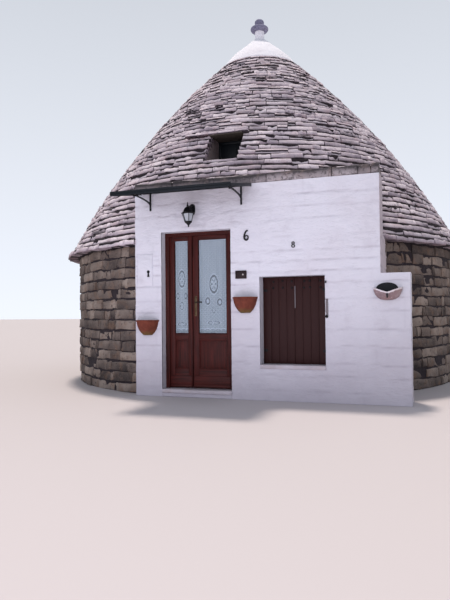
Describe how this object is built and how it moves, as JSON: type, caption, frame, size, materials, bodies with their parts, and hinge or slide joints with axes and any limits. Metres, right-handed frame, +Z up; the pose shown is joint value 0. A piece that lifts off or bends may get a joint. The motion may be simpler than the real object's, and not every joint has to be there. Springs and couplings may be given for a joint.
{
  "type": "trullo house",
  "caption": "Round dry-stone house under a stone cone, with a flat limewashed front wall, inward-opening glazed double door, shuttered window, dormer, canopy and lantern.",
  "frame": {"origin": "on the cone's axis at ground level, in the underside of the floor slab", "axes": "+Z up, front wall and door facing -Y, +X to the right of someone facing the door"},
  "size_m": [6.882, 7.572, 6.564],
  "materials": {
    "floor_stone": "worn limestone",
    "limewash": "chalky limewash over rough coursed stone",
    "cap_stone": "weathered limestone with lichen",
    "bare_stone": "bare dry-stone limestone",
    "roof_stone": "split limestone slabs, weathered grey",
    "dark_stone": "smooth dark weathered stone",
    "dark_metal": "satin dark paint",
    "mahogany": "satin red-brown varnish",
    "clear_glass": "clear",
    "lace": "fine white net with woven ornament",
    "brass": "aged satin brass",
    "shutter_wood": "old dark maroon paint on boards",
    "canopy_metal": "dark green-black paint",
    "wrought_iron": "matte black paint on iron",
    "painted_panel": "limewashed sheet",
    "bell_metal": "dark maroon enamel",
    "terracotta": "unglazed terracotta",
    "bowl_stone": "carved pinkish limestone"
  },
  "bodies": {
    "house": {"floor_slab": "floor_stone", "door_threshold": "floor_stone", "front_wall_left": "limewash", "front_wall_middle": "limewash", "front_wall_right": "limewash", "front_wall_over_door": "limewash", "front_wall_over_window": "limewash", "front_wall_under_window": "limewash", "corner_masonry": "limewash", "low_wall": "limewash", "cap_stones": "cap_stone", "round_wall_front_left": "bare_stone", "round_wall_front_right": "bare_stone", "round_wall_right": "bare_stone", "round_wall_back_right": "bare_stone", "round_wall_back_left": "bare_stone", "round_wall_left": "bare_stone", "roof_front": "roof_stone", "roof_right": "roof_stone", "roof_back": "roof_stone", "roof_left": "roof_stone", "roof_top": "roof_stone", "white_cap": "limewash", "pinnacle_disc": "dark_stone", "pinnacle_ball": "dark_stone", "dormer_sill": "roof_stone", "dormer_lintel": "roof_stone", "dormer_frame": "dark_metal", "dormer_panel": "dark_metal", "door_frame": "mahogany", "hinge_frame_halves": "brass", "window_sill": "floor_stone", "window_frame": "shutter_wood", "left_shutter": "shutter_wood", "right_shutter": "shutter_wood", "canopy_sheet": "canopy_metal", "canopy_rails": "canopy_metal", "canopy_brackets": "wrought_iron", "lantern_bracket": "wrought_iron", "lantern_roof": "wrought_iron", "lantern_glass": "clear_glass", "lantern_cage": "wrought_iron", "meter_door": "painted_panel", "bell_box": "bell_metal", "left_pot": "terracotta", "right_pot": "terracotta", "stone_bowl": "bowl_stone"},
    "left_leaf": {"door_left_leaf": "mahogany", "left_glass": "clear_glass", "left_curtain": "lace", "left_hinge_halves": "brass"},
    "right_leaf": {"door_right_leaf": "mahogany", "right_glass": "clear_glass", "right_curtain": "lace", "right_hinge_halves": "brass", "door_handle": "brass"}
  },
  "joints": [
    {"name": "left_leaf_hinge", "type": "hinge", "parent": "house", "child": "left_leaf", "pos_m": [-0.446, -3.098, 0], "axis": [0, 0, 1], "range_deg": [0, 90]},
    {"name": "right_leaf_hinge", "type": "hinge", "parent": "house", "child": "right_leaf", "pos_m": [0.446, -3.098, 0], "axis": [0, 0, -1], "range_deg": [0, 90]}
  ]
}
